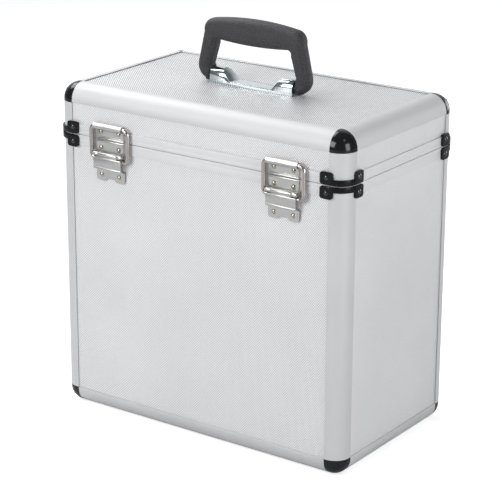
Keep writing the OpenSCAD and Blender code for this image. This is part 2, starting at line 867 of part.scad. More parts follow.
bottom_panel();
body_panel("front");  // body_front_panel
body_panel("back");  // body_back_panel
body_panel("left");  // body_left_panel
body_panel("right");  // body_right_panel
color("silver") edge_x();  // bottom_front_edge
color("silver") mirror([0, 1, 0]) edge_x();  // bottom_back_edge
color("silver") edge_y();  // bottom_left_edge
color("silver") mirror([1, 0, 0]) edge_y();  // bottom_right_edge
body_post(0, 0);  // body_post_front_left
body_post(1, 0);  // body_post_front_right
body_post(0, 1);  // body_post_back_left
body_post(1, 1);  // body_post_back_right
body_rim_side("front");  // body_rim_front
body_rim_side("back");  // body_rim_back
body_rim_side("left");  // body_rim_left
body_rim_side("right");  // body_rim_right
color("black") at_all_corners() ball_corner();  // body_ball_corners
body_corner_clamps();
clamp_rivets(-clamp_rivet_rise);  // body_clamp_rivets
body_rivets();
body_lining();
color("lightgray") on_front(-latch_offset, seam_height) latch_base();  // left_latch_base
color("lightgray") on_front(latch_offset, seam_height) latch_base();  // right_latch_base
color("gainsboro") for (x = [-latch_offset, latch_offset]) on_front(x, seam_height) lever_pin_piece();  // lever_pins
body_hinge_leaves();
hinge_pins();
lid_top_panel();
lid_panel("front");  // lid_front_panel
lid_panel("back");  // lid_back_panel
lid_panel("left");  // lid_left_panel
lid_panel("right");  // lid_right_panel
color("silver") lid_side_up() edge_x();  // top_front_edge
color("silver") lid_side_up() mirror([0, 1, 0]) edge_x();  // top_back_edge
color("silver") lid_side_up() edge_y();  // top_left_edge
color("silver") lid_side_up() mirror([1, 0, 0]) edge_y();  // top_right_edge
lid_post(0, 0);  // lid_post_front_left
lid_post(1, 0);  // lid_post_front_right
lid_post(0, 1);  // lid_post_back_left
lid_post(1, 1);  // lid_post_back_right
lid_rim_side("front");  // lid_rim_front
lid_rim_side("back");  // lid_rim_back
lid_rim_side("left");  // lid_rim_left
lid_rim_side("right");  // lid_rim_right
color("black") lid_side_up() at_all_corners() ball_corner();  // lid_ball_corners
lid_corner_clamps();
clamp_rivets(clamp_rivet_rise);  // lid_clamp_rivets
lid_rivets();
lid_lining();
color("lightgray") on_front(-latch_offset, seam_height) strike_plate();  // left_strike_plate
color("lightgray") on_front(latch_offset, seam_height) strike_plate();  // right_strike_plate
lid_hinge_leaves();
handle_bracket();
bracket_screws();
handle_grip();
handle_pivots();
color("gainsboro") on_front(-latch_offset, seam_height) bail();  // left_bail
color("gainsboro") on_front(latch_offset, seam_height) bail();  // right_bail
color("lightgray") on_front(-latch_offset, seam_height) lever();  // left_lever
color("lightgray") on_front(latch_offset, seam_height) lever();  // right_lever
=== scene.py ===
"""Record carrying case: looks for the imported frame. Metres, same frame as the CAD."""

import math

import bmesh
import bpy
from mathutils import Matrix, Vector, noise


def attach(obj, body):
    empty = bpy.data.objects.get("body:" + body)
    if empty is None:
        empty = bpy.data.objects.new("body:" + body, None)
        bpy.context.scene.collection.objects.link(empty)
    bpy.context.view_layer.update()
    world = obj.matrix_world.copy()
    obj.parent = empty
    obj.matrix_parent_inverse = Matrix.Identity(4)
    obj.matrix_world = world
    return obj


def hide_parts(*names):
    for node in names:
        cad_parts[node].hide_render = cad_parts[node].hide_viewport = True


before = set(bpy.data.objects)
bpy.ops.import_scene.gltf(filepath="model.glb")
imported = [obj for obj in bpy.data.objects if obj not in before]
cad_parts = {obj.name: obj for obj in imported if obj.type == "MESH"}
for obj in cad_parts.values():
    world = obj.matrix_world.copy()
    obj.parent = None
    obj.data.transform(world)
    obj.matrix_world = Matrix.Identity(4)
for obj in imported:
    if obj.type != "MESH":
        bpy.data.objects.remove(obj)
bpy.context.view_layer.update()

MM = 0.001
BODY, LID, HANDLE = "case_body", "lid", "handle"

# Angles in degrees: a copy's edges over the first are rounded, all over the second look hard
SHARP, CREASE = 35, 38

# Case, with the sizes of the CAD: its middle is X and Y zero, and the floor is Z zero
HALF_WIDTH = 175 * MM
HALF_DEPTH = 101.5 * MM
HEIGHT = 350 * MM
SEAM = 299 * MM
SEAM_GAP = 0.6 * MM
BODY_TOP = SEAM - SEAM_GAP / 2
LID_BOTTOM = SEAM + SEAM_GAP / 2

# Edge extrusions: two legs with a slot for the boards and a thin lip over their face
EDGE = 19 * MM
EDGE_ROUND = 17 * MM
SKIN = 1.2 * MM
BOARD = 4 * MM
LEG = BOARD + 2 * SKIN
TUCK = 6 * MM
LIP, LIP_DEPTH, LIP_ROUND = 0.65 * MM, 2 * MM, 0.3 * MM
PANEL_FACE = HEIGHT - SKIN
DIAMONDS_PER_METRE = 366

# Rims: tongue on the body, groove in the lid, and a scored line along the outside
BODY_RIM, LID_RIM = 11.5 * MM, 10.5 * MM
TONGUE_START, TONGUE_END, TONGUE_HEIGHT, TONGUE_ROUND = 3.2 * MM, 4.8 * MM, 3 * MM, 0.5 * MM
GROOVE_START, GROOVE_END, GROOVE_DEPTH = 2.8 * MM, 5.2 * MM, 2.8 * MM
SCORE_RISE, SCORE_HALF, SCORE_FLAT, SCORE_DEPTH = 4 * MM, 0.6 * MM, 0.3 * MM, 0.15 * MM
SCORE_ROUND, RIM_ROUND, RIM_LIP = 0.1 * MM, 0.4 * MM, 0.1 * MM

# Corners
CAP_WALL = 3 * MM
CLAMP, CLAMP_ROUND = 2 * MM, 0.5 * MM
CLAMP_RIVET_REACH, CLAMP_RIVET_RISE = 21 * MM, 7.55 * MM

# Latches: heights are from the parting line, up
LATCH_OFFSET = 106 * MM
PLATE_HALF, PLATE, PLATE_ROUND = 18 * MM, 1 * MM, 0.45 * MM
PLATE_BEAD = 1 * MM
SHEET_LIP, BEAD_LIP = 0.2 * MM, 0.3 * MM
HEM = 0.75 * MM
RIB, RIB_INSET, RIB_RISE = 0.35 * MM, 2 * MM, 1.9 * MM
ROLL, ROLL_WALL = 3.45 * MM, 0.9 * MM
LAP_ANGLE, LAP_SPREAD, LAP_DEPTH = 42, 6, 0.4 * MM
WIRE, BAIL_HALF, BAIL_ROUND = 2.2 * MM, 23.1 * MM, 5 * MM
BAIL_PIVOT, BAIL_SEAT, BAIL_SHIFT = 14.2 * MM, -19.05 * MM, 1.3 * MM
PIN_DROP, PIN_PROUD = -14.3 * MM, 4.8 * MM
KNUCKLE, KNUCKLE_HALF, KNUCKLE_GAP = 2.25 * MM, 11.7 * MM, 0.15 * MM
LEVER_HALF, LEVER_LOW, LEVER_INNER = 17.5 * MM, -28.5 * MM, 6.05 * MM
LEVER_OUTER = LEVER_INNER + PLATE
LEVER_ROLL, LEVER_BEAD, BEAD_PROUD, LEVER_LIP = 1.15 * MM, 1.2 * MM, 0.2 * MM, 0.4 * MM
LEVER_GAP, LEVER_RECESS, LEVER_ROUND = 0.55 * MM, 0.3 * MM, 0.25 * MM
STRAP, STRAP_RECESS = 0.8 * MM, 1 * MM
SHELF_DEPTH, SHELF_GAP, SHELF_INSET = 2.2 * MM, 0.3 * MM, 1.5 * MM
EAR_LIP = 0.35 * MM
BASE_LOW, BASE_ROUND = -43 * MM, 3.5 * MM
NOTCH_TOP, NOTCH_HALF, NOTCH_ROUND = -40.2 * MM, 5.5 * MM, 1 * MM
WAIST_TOP, WAIST_LOW, WAIST_HALF, WAIST_STEP = -17.8 * MM, -31.4 * MM, 13.5 * MM, 1 * MM
WAIST_ROUND, WAIST_LOW_ROUND = 0.5 * MM, 0.8 * MM

# Hinges and rivets
HINGE_OFFSET, HINGE_PLATE = 100 * MM, 1.5 * MM
HINGE_RIVET_GAP, HINGE_RIVET_RISE = 15 * MM, 8.2 * MM
RIVET_HALF_GAP = 11.25 * MM
STRIKE_RIVETS, BASE_RIVETS, FOOT_RIVETS = 8.2 * MM, -8.2 * MM, -36.8 * MM
RIVET_HEAD, RIVET_DOME, CLAMP_DOME = 2.6 * MM, 1.4 * MM, 1.1 * MM

# Grip: a round foot at its pivot, which flares to the full thickness. Edges nearer than
# GRIP_CLEAR to the pivot aren't rounded
GRIP_PIVOT = PANEL_FACE + 8 * MM
GRIP_HALF, GRIP_ROUND = 8 * MM, 6 * MM
GRIP_FOOT, GRIP_FLARE, GRIP_CLEAR = 7.5 * MM, 14 * MM, 7 * MM

# Linings
LINING, LINING_DROP = 2.5 * MM, 6 * MM
FOAM_ROUND, FOAM_LONG_EDGE, FOAM_CUTS = 0.9 * MM, 30 * MM, 24
FOAM_WAVE, FOAM_WAVES_PER_METRE = 0.35 * MM, 28

# Studio
MIDDLE = (0, 0, 0.18)
BACKDROP = (-0.56, 0.76, 0.32)
CAMERA_PLACE = (1.1137, -1.5852, 0.8339)
CAMERA_TURN, CAMERA_DIP, CAMERA_ROLL = 35.216, 18.749, 0.302
CAMERA_LENS = 142.07


# ---------- Mesh helpers ----------

def edges_of(verts):
    return list({edge for vert in verts for edge in vert.link_edges})


def soften(bm, edges, radius, segments=2, clamp=True):
    bmesh.ops.bevel(
        bm, geom=edges, offset=radius, offset_type="OFFSET", segments=segments,
        profile=0.5, affect="EDGES", clamp_overlap=clamp, material=-1,
    )


def block(bm, low, high, radius, segments=2):
    """Box between two corners, with rounded edges."""
    low, high = Vector(low), Vector(high)
    verts = bmesh.ops.create_cube(bm, size=1)["verts"]
    bmesh.ops.scale(bm, vec=high - low, verts=verts)
    bmesh.ops.translate(bm, vec=(low + high) / 2, verts=verts)
    soften(bm, edges_of(verts), radius, segments)


def rod(bm, start, end, radius, lip, segments=32):
    """Round bar between two points, its ends slightly rounded."""
    start, end = Vector(start), Vector(end)
    run = end - start
    turn = Vector((0, 0, 1)).rotation_difference(run).to_matrix().to_4x4()
    verts = bmesh.ops.create_cone(
        bm, cap_ends=True, segments=segments, radius1=radius, radius2=radius,
        depth=run.length, matrix=Matrix.Translation((start + end) / 2) @ turn,
    )["verts"]
    rims = [e for e in edges_of(verts) if any(len(f.verts) > 4 for f in e.link_faces)]
    soften(bm, rims, lip)


def dome(bm, seat, outward, rise):
    """Domed rivet head that sits on a surface."""
    ball = (RIVET_HEAD ** 2 + rise ** 2) / (2 * rise)
    outward = Vector(outward)
    turn = Vector((0, 0, 1)).rotation_difference(outward).to_matrix().to_4x4()
    place = Matrix.Translation(Vector(seat)) @ turn
    made = bmesh.ops.create_uvsphere(
        bm, u_segments=24, v_segments=28, radius=ball,
        matrix=place @ Matrix.Translation((0, 0, rise - ball)),
    )["verts"]
    geometry = made + edges_of(made) + list({f for v in made for f in v.link_faces})
    kept = bmesh.ops.bisect_plane(
        bm, geom=geometry, dist=1e-7, plane_co=Vector(seat), plane_no=outward, clear_inner=True
    )
    rim = [g for g in kept["geom_cut"] if isinstance(g, bmesh.types.BMEdge)]
    bmesh.ops.edgeloop_fill(bm, edges=rim)


def pour(bm, part):
    """Moves the geometry of one bmesh into another."""
    mesh = bpy.data.meshes.new("part")
    part.to_mesh(mesh)
    part.free()
    bm.from_mesh(mesh)
    bpy.data.meshes.remove(mesh)


def section(corners):
    """Flat outline in X and Y from corners given as x, y and rounding."""
    bm = bmesh.new()
    verts = [bm.verts.new((x, y, 0)) for x, y, _ in corners]
    bm.faces.new(verts)
    for vert, (_, _, radius) in zip(verts, corners):
        if radius:
            bmesh.ops.bevel(
                bm, geom=[vert], offset=radius, offset_type="OFFSET",
                segments=max(4, int(1.5 * radius / MM)), profile=0.5, affect="VERTICES",
                clamp_overlap=False, material=-1,
            )
    return bm


def drawn(bm, length, lip=0):
    """Draws a section out along Z, centred, and rounds the edges of its two ends by lip."""
    made = bmesh.ops.extrude_face_region(bm, geom=bm.faces[:])["geom"]
    top = [g for g in made if isinstance(g, bmesh.types.BMVert)]
    bmesh.ops.translate(bm, vec=(0, 0, length), verts=top)
    bmesh.ops.translate(bm, vec=(0, 0, -length / 2), verts=bm.verts)
    if lip:
        ends = [e for e in bm.edges if abs(e.verts[0].co.z - e.verts[1].co.z) < 1e-7]
        soften(bm, ends, lip, 1)
    return bm


def copy_of(node):
    """Copy of a CAD node's mesh, with its loose triangles joined and its flats made whole."""
    bm = bmesh.new()
    bm.from_mesh(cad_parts[node].data)
    bmesh.ops.remove_doubles(bm, verts=bm.verts, dist=0.002 * MM)
    bmesh.ops.dissolve_limit(
        bm, angle_limit=math.radians(0.4), verts=bm.verts[:], edges=bm.edges[:]
    )
    return bm


def sharp_edges(bm, angle=SHARP):
    """Edges whose two faces turn by more than an angle in degrees."""
    return [
        e for e in bm.edges
        if len(e.link_faces) == 2 and e.calc_face_angle() > math.radians(angle)
    ]


def new_object(name, data):
    """New object in the scene."""
    made = bpy.data.objects.new(name, data)
    bpy.context.scene.collection.objects.link(made)
    return made


def add_piece(name, bm, material, body, nodes, outward=True):
    """Makes the finished piece, in place of the CAD nodes that it stands for.

    Faces are turned outward, except those of a copy, which keep the CAD's own turn.
    """
    bmesh.ops.remove_doubles(bm, verts=bm.verts, dist=0.001 * MM)
    if outward:
        bmesh.ops.recalc_face_normals(bm, faces=bm.faces)
    for edge in bm.edges:
        edge.smooth = edge.calc_face_angle(0) < math.radians(CREASE)
    for face in bm.faces:
        face.smooth = True
    mesh = bpy.data.meshes.new(name)
    bm.to_mesh(mesh)
    bm.free()
    cad_normals = mesh.attributes.get("custom_normal")
    if cad_normals:
        mesh.attributes.remove(cad_normals)
    mesh.materials.append(material)
    piece = new_object(name, mesh)
    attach(piece, body)
    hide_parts(*nodes)
    return piece


# ---------- Materials ----------

def add_node(tree, kind, values, output=0, **settings):
    made = tree.nodes.new(kind)
    for key, value in settings.items():
        setattr(made, key, value)
    for socket, value in values.items():
        if isinstance(value, bpy.types.NodeSocket):
            tree.links.new(value, made.inputs[socket])
        else:
            made.inputs[socket].default_value = value
    return made.outputs[output]


def start_material(name, **constants):
    """New material, its tree, its shader and its Object coordinates."""
    material = bpy.data.materials.new(name)
    material.use_nodes = True
    tree = material.node_tree
    shader = tree.nodes["Principled BSDF"]
    for socket, value in constants.items():
        shader.inputs[socket.replace("_", " ")].default_value = value
    place = add_node(tree, "ShaderNodeTexCoord", {}, "Object")
    return material, tree, shader, place


def calc(tree, operation, *values):
    return add_node(tree, "ShaderNodeMath", dict(enumerate(values)), operation=operation)


def grain(tree, place, scale, detail=2, stretch=(1, 1, 1), roughness=0.5):
    """Noise from 0 to 1 at a scale per metre, drawn out along an axis where stretch is small."""
    stretched = add_node(tree, "ShaderNodeMapping", {"Vector": place, "Scale": stretch})
    return add_node(
        tree, "ShaderNodeTexNoise",
        {"Vector": stretched, "Scale": scale, "Detail": detail, "Roughness": roughness},
    )


def spread(tree, value, low, high):
    """Maps the middle of a noise, from 0.3 to 0.7, to a range."""
    return add_node(
        tree, "ShaderNodeMapRange",
        {"Value": value, "From Min": 0.3, "From Max": 0.7, "To Min": low, "To Max": high},
    )


def mixed(tree, factor, dark, light):
    """Blend of two colours; each is three numbers or the output of a node."""
    made = tree.nodes.new("ShaderNodeMixRGB")
    for socket, value in zip(made.inputs, (factor, dark, light)):
        if isinstance(value, bpy.types.NodeSocket):
            tree.links.new(value, socket)
        else:
            socket.default_value = (*value, 1)
    return made.outputs[0]


def surface(tree, shader, colour, rough, height, depth):
    """Gives a shader its colour, its roughness and a relief of a depth in metres."""
    relief = add_node(
        tree, "ShaderNodeBump", {"Height": height, "Distance": depth, "Strength": 1.0}
    )
    for socket, value in (("Base Color", colour), ("Roughness", rough), ("Normal", relief)):
        tree.links.new(value, shader.inputs[socket])


def one_way(along, amount):
    """Stretch that draws a noise out along one axis."""
    return [amount if axis == along else 1.0 for axis in range(3)]


def laminate(name, across, up, rising_painted_shading, falling_painted_shading, dark=(0.56, 0.555, 0.575)):
    """Silver laminate embossed with a fine grid of diamonds, laid out on two axes. The light and dark
    of the two diamond rows in its colour is painted shading of the embossed relief, with a strength
    given per face.
    """
    material, tree, shader, place = start_material(name, Metallic=0.25)
    split = add_node(tree, "ShaderNodeSeparateXYZ", {0: place}).node
    u, v = split.outputs[across], split.outputs[up]
    turns = 2 * math.pi * DIAMONDS_PER_METRE
    rising = calc(tree, "SINE", calc(tree, "MULTIPLY", calc(tree, "SUBTRACT", v, u), turns))
    falling = calc(tree, "SINE", calc(tree, "MULTIPLY", calc(tree, "ADD", v, u), turns))
    stud = calc(
        tree, "MULTIPLY", calc(tree, "MULTIPLY_ADD", rising, 0.5, 0.5),
        calc(tree, "MULTIPLY_ADD", falling, 0.5, 0.5),
    )
    cloud = grain(tree, place, 9, 3)
    speck = grain(tree, place, 1400, 2)
    # Painted shading: the two rows of diamonds are made lighter and darker in colour to stand in for
    # light and shade on the relief; cloud and speck are the sheet's own random tone
    shade = calc(tree, "MULTIPLY_ADD", rising, rising_painted_shading, 0.5)
    shade = calc(tree, "MULTIPLY_ADD", falling, falling_painted_shading, shade)
    shade = calc(tree, "ADD", shade, spread(tree, cloud, -0.06, 0.06))
    shade = calc(tree, "ADD", shade, spread(tree, speck, -0.08, 0.08))
    # The colour runs from dark, the shaded end of the painted relief shading, to white, its lit end
    colour = mixed(tree, shade, dark, (1.0, 0.995, 1.0))
    rough = calc(tree, "MULTIPLY_ADD", stud, -0.12, spread(tree, cloud, 0.42, 0.50))
    height = calc(tree, "MULTIPLY_ADD", speck, 0.12, stud)
    surface(tree, shader, colour, rough, height, 0.18 * MM)
    return material


def anodised(name, along, gain=1.0):
    """Satin anodised aluminium with fine drawing lines along one axis."""
    material, tree, shader, place = start_material(name, Metallic=0.2)
    stretch = one_way(along, 0.004)
    lines = grain(tree, place, 2600, 3, stretch, 0.6)
    bands = grain(tree, place, 240, 2, stretch)
    cloud = grain(tree, place, 14, 3)
    shade = calc(tree, "MULTIPLY_ADD", lines, 0.4, calc(tree, "MULTIPLY", cloud, 0.6))
    dark = tuple(gain * c for c in (0.60, 0.598, 0.61))
    light = tuple(gain * c for c in (0.67, 0.668, 0.677))
    colour = mixed(tree, spread(tree, shade, 0, 1), dark, light)
    rough = calc(tree, "MULTIPLY_ADD", lines, 0.10, spread(tree, cloud, 0.50, 0.56))
    height = calc(tree, "MULTIPLY_ADD", bands, 1.5, lines)
    surface(tree, shader, colour, rough, height, 0.01 * MM)
    return material


def black_moulding(name, colour, rough, orange_peel, shine):
    """Glossy black finish with a slight orange peel and faint rub marks."""
    material, tree, shader, place = start_material(name, Specular_IOR_Level=shine)
    rubs = grain(tree, place, 260, 4, (1, 1, 0.25), 0.65)
    peel = grain(tree, place, 700, 2)
    rubbed = tuple(3 * c for c in colour)
    tint = mixed(tree, spread(tree, rubs, 0, 0.35), colour, rubbed)
    gloss = spread(tree, rubs, rough, 2.1 * rough)
    surface(tree, shader, tint, gloss, peel, orange_peel * MM)
    return material


def plated(name, dark, light, rough, along, streak):
    """Plated steel with rolling lines along one axis and slight tarnish."""
    material, tree, shader, place = start_material(name, Metallic=1.0)
    lines = grain(tree, place, 2200, 3, one_way(along, 0.03), 0.65)
    stain = grain(tree, place, 90, 4, roughness=0.6)
    pits = grain(tree, place, 2600, 2)
    shade = calc(tree, "MULTIPLY_ADD", lines, streak, calc(tree, "MULTIPLY", stain, 1 - streak))
    colour = mixed(tree, spread(tree, shade, 0, 1), dark, light)
    stained = calc(tree, "MULTIPLY_ADD", stain, 0.14, rough - 0.07)
    gloss = calc(tree, "MULTIPLY_ADD", lines, 0.08, stained)
    height = calc(tree, "MULTIPLY_ADD", pits, 0.5, lines)
    surface(tree, shader, colour, gloss, height, 0.001 * MM)
    return material


def grained_plastic():
    """Dark grey moulded plastic with a fine spark-eroded grain."""
    material, tree, shader, place = start_material("grip_moulding", Specular_IOR_Level=0.45)
    fine = grain(tree, place, 620, 3, roughness=0.75)
    cells = add_node(tree, "ShaderNodeTexVoronoi", {"Vector": place, "Scale": 900})
    handled = grain(tree, place, 45, 3)
    shade = calc(tree, "MULTIPLY_ADD", fine, 0.75, calc(tree, "MULTIPLY", handled, 0.25))
    colour = mixed(tree, spread(tree, shade, 0, 1), (0.009, 0.009, 0.011), (0.062, 0.061, 0.068))
    height = calc(tree, "MULTIPLY_ADD", fine, 0.8, cells)
    surface(tree, shader, colour, spread(tree, handled, 0.50, 0.62), height, 0.30 * MM)
    return material


def foam():
    """Charcoal foam lining with open cells and a soft nap."""
    material, tree, shader, place = start_material(
        "foam_lining", Sheen_Weight=0.35, Sheen_Roughness=0.5
    )
    cells = add_node(tree, "ShaderNodeTexVoronoi", {"Vector": place, "Scale": 1100})
    nap = grain(tree, place, 500, 4, roughness=0.7)
    patch = grain(tree, place, 18, 3)
    shade = calc(tree, "MULTIPLY_ADD", nap, 0.5, calc(tree, "MULTIPLY", patch, 0.5))
    colour = mixed(tree, spread(tree, shade, 0, 1), (0.022, 0.022, 0.024), (0.055, 0.055, 0.060))
    height = calc(tree, "ADD", cells, nap)
    surface(tree, shader, colour, spread(tree, nap, 0.82, 0.96), height, 0.25 * MM)
    return material


# Lit and shaded copies of one laminate: the strength of its painted relief shading, and the darker
# top, stand in for how the light falls on the front, the sides and the top
LAMINATE_FRONT = laminate("laminate_front", 0, 2, 0.24, 0.45)
LAMINATE_SIDE = laminate("laminate_side", 1, 2, 0.05, 0.05)
LAMINATE_TOP = laminate("laminate_top", 0, 1, 1.3, 1.3, (0.27, 0.268, 0.28))
ANODISED = [anodised("anodised_" + axis, i) for i, axis in enumerate("xyz")]
RIM_FINISH = [anodised("rim_" + axis, i, 1.16) for i, axis in enumerate("xy")]
GLOSS_BLACK = black_moulding("gloss_black_plastic", (0.006, 0.006, 0.0065), 0.10, 0.02, 0.4)
ENAMEL = black_moulding("black_enamel", (0.0045, 0.0045, 0.005), 0.17, 0.03, 0.2)
BLACK_RIVET = black_moulding("black_rivet", (0.005, 0.005, 0.0055), 0.03, 0.002, 0.9)
NICKEL = plated("nickel_plate", (0.52, 0.52, 0.505), (0.62, 0.62, 0.605), 0.27, 0, 0.6)
NICKEL_WIRE = plated("nickel_wire", (0.44, 0.40, 0.37), (0.61, 0.565, 0.535), 0.17, 2, 0.5)
RIVET = plated("rivet_plate", (0.42, 0.36, 0.29), (0.62, 0.55, 0.46), 0.09, 0, 0.4)
ZINC = plated("zinc_plate", (0.52, 0.59, 0.60), (0.74, 0.79, 0.80), 0.06, 0, 0.4)
GRIP = grained_plastic()
FOAM = foam()


# ---------- Panels: the boards keep their CAD shape ----------

def cover(node, material):
    """Gives a board its laminate."""
    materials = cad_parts[node].data.materials
    materials.clear()
    materials.append(material)


for part in ("body", "lid"):
    for side in ("front", "back"):
        cover(f"{part}_{side}_panel", LAMINATE_FRONT)
    for side in ("left", "right"):
        cover(f"{part}_{side}_panel", LAMINATE_SIDE)
cover("bottom_panel", LAMINATE_TOP)
cover("lid_top_panel", LAMINATE_TOP)


# ---------- Frame: edges, posts and rims ----------

LEG_CORNERS = [
    (EDGE, 0, LIP_ROUND), (EDGE, LIP, 0), (EDGE - LIP_DEPTH, LIP, 0), (EDGE - LIP_DEPTH, SKIN, 0),
    (EDGE - TUCK, SKIN, 0), (EDGE - TUCK, SKIN + BOARD, 0), (EDGE, SKIN + BOARD, 0), (EDGE, LEG, 0),
]
EDGE_CORNERS = [
    (0, 0, EDGE_ROUND), *LEG_CORNERS, (LEG, LEG, 0), *[(y, x, r) for x, y, r in reversed(LEG_CORNERS)],
]


def stand(u, v, along, corner, middle):
    """Matrix that lays a section's X on u and Y on v, drawn out along a third axis."""
    matrix = Matrix((u, v, along)).transposed().to_4x4()
    return Matrix.Translation(Vector(corner) + Vector(along) * middle) @ matrix


def extrusion(name, node, matrix, length, axis, body):
    """Edge or post of the case, its drawing lines along its length."""
    bm = drawn(section(EDGE_CORNERS), length, SHEET_LIP)
    bmesh.ops.transform(bm, matrix=matrix, verts=bm.verts)
    add_piece(name, bm, ANODISED[axis], body, [node])


SPAN_X = 2 * (HALF_WIDTH - EDGE)
SPAN_Y = 2 * (HALF_DEPTH - EDGE)
for level, z, up, body in (("bottom", 0, 1, BODY), ("top", HEIGHT, -1, LID)):
    for side, y, inward in (("front", -HALF_DEPTH, 1), ("back", HALF_DEPTH, -1)):
        extrusion(
            f"{level}_{side}_extrusion", f"{level}_{side}_edge",
            stand((0, inward, 0), (0, 0, up), (1, 0, 0), (0, y, z), 0), SPAN_X, 0, body,
        )
    for side, x, inward in (("left", -HALF_WIDTH, 1), ("right", HALF_WIDTH, -1)):
        extrusion(
            f"{level}_{side}_extrusion", f"{level}_{side}_edge",
            stand((inward, 0, 0), (0, 0, up), (0, 1, 0), (x, 0, z), 0), SPAN_Y, 1, body,
        )
for part, low, high, body in (
    ("body", EDGE, BODY_TOP, BODY), ("lid", LID_BOTTOM, HEIGHT - EDGE, LID)
):
    for depth_name, y, to_middle in (("front", -HALF_DEPTH, 1), ("back", HALF_DEPTH, -1)):
        for side, x, inward in (("left", -HALF_WIDTH, 1), ("right", HALF_WIDTH, -1)):
            extrusion(
                f"{part}_{depth_name}_{side}_post", f"{part}_post_{depth_name}_{side}",
                stand((inward, 0, 0), (0, to_middle, 0), (0, 0, 1), (x, y, 0), (low + high) / 2),
                high - low, 2, body,
            )


def rim_corners(height, tongue, groove):
    """Rim section: X is depth from the face, Y is distance from the parting line."""
    corners = [(LEG, 0, LIP_ROUND)]
    if tongue:
        corners += [
            (TONGUE_END, 0, 0), (TONGUE_END, -TONGUE_HEIGHT, TONGUE_ROUND),
            (TONGUE_START, -TONGUE_HEIGHT, TONGUE_ROUND), (TONGUE_START, 0, 0),
        ]
    if groove:
        corners += [
            (GROOVE_END, 0, 0), (GROOVE_END, GROOVE_DEPTH, 0),
            (GROOVE_START, GROOVE_DEPTH, 0), (GROOVE_START, 0, 0),
        ]
    return corners + [
        (0, 0, RIM_ROUND), (0, SCORE_RISE - SCORE_HALF, SCORE_ROUND),
        (SCORE_DEPTH, SCORE_RISE - SCORE_FLAT, SCORE_ROUND),
        (SCORE_DEPTH, SCORE_RISE + SCORE_FLAT, SCORE_ROUND),
        (0, SCORE_RISE + SCORE_HALF, SCORE_ROUND),
        (0, height, LIP_ROUND), (LIP, height, 0),
        (LIP, height - LIP_DEPTH, 0), (SKIN, height - LIP_DEPTH, 0),
        (SKIN, height - TUCK, 0), (SKIN + BOARD, height - TUCK, 0),
        (SKIN + BOARD, height, 0), (LEG, height, 0),
    ]


for part, z, away, height, body in (
    ("body", BODY_TOP, -1, BODY_RIM, BODY), ("lid", LID_BOTTOM, 1, LID_RIM, LID)
):
    for side, corner, inward, along, axis, length in (
        ("front", (0, -HALF_DEPTH, z), (0, 1, 0), (1, 0, 0), 0, SPAN_X),
        ("back", (0, HALF_DEPTH, z), (0, -1, 0), (1, 0, 0), 0, SPAN_X),
        ("left", (-HALF_WIDTH, 0, z), (1, 0, 0), (0, 1, 0), 1, SPAN_Y),
        ("right", (HALF_WIDTH, 0, z), (-1, 0, 0), (0, 1, 0), 1, SPAN_Y),
    ):
        sealed = side != "back"
        corners = rim_corners(height, sealed and part == "body", sealed and part == "lid")
        bm = drawn(section(corners), length, RIM_LIP)
        place = stand(inward, (0, 0, away), along, corner, 0)
        bmesh.ops.transform(bm, matrix=place, verts=bm.verts)
        add_piece(
            f"{part}_{side}_rim", bm, RIM_FINISH[axis], body,
            [f"{part}_rim_{side}"],
        )


# ---------- Corners ----------

def corner_cap():
    """Rounded cap: the three outer faces of a cube with round edges, given a wall."""
    bm = bmesh.new()
    verts = bmesh.ops.create_cube(bm, size=EDGE)["verts"]
    bmesh.ops.translate(bm, vec=(EDGE / 2,) * 3, verts=verts)
    inner = [f for f in bm.faces if max(f.normal) > 0.5]
    bmesh.ops.delete(bm, geom=inner, context="FACES")
    outer = [e for e in bm.edges if len(e.link_faces) == 2]
    bmesh.ops.bevel(
        bm, geom=outer, offset=EDGE_ROUND, offset_type="OFFSET", segments=14,
        profile=0.5, affect="EDGES", clamp_overlap=False, material=-1,
    )
    bmesh.ops.recalc_face_normals(bm, faces=bm.faces)
    inward = Vector((1, 1, 1))
    if sum(f.normal.dot(inward) for f in bm.faces) > 0:
        bmesh.ops.reverse_faces(bm, faces=bm.faces)
    bmesh.ops.solidify(bm, geom=bm.faces[:], thickness=CAP_WALL)
    return bm


def corner_caps(name, node, top, body):
    """The four caps of the floor or of the top, as one piece."""
    bm = bmesh.new()
    for right in (-1, 1):
        for back in (-1, 1):
            cap = corner_cap()
            place = Matrix.Diagonal((-right, -back, -1 if top else 1, 1))
            place.translation = (right * HALF_WIDTH, back * HALF_DEPTH, HEIGHT if top else 0)
            bmesh.ops.transform(cap, matrix=place, verts=cap.verts)
            pour(bm, cap)
    add_piece(name, bm, GLOSS_BLACK, body, [node])


corner_caps("body_ball_caps", "body_ball_corners", False, BODY)
corner_caps("lid_ball_caps", "lid_ball_corners", True, LID)

for part, body in (("body", BODY), ("lid", LID)):
    node = f"{part}_corner_clamps"
    bm = copy_of(node)
    soften(bm, sharp_edges(bm), CLAMP_ROUND, 3)
    add_piece(f"{part}_clamps", bm, ENAMEL, body, [node], outward=False)


# ---------- Rivets ----------

def clamp_rivet_seats(z):
    """Where the rivets of the corner clamps sit at a height, and which way they face."""
    for x in (-1, 1):
        for y in (-1, 1):
            yield (x * (HALF_WIDTH - CLAMP_RIVET_REACH), y * (HALF_DEPTH + CLAMP), z), (0, y, 0)
            yield (x * (HALF_WIDTH + CLAMP), y * (HALF_DEPTH - CLAMP_RIVET_REACH), z), (x, 0, 0)


def front_rivet_seats(rise):
    """The same for the two latches, at a height from the parting line."""
    for x in (-LATCH_OFFSET, LATCH_OFFSET):
        for side in (-1, 1):
            yield (x + side * RIVET_HALF_GAP, -HALF_DEPTH - PLATE, SEAM + rise), (0, -1, 0)


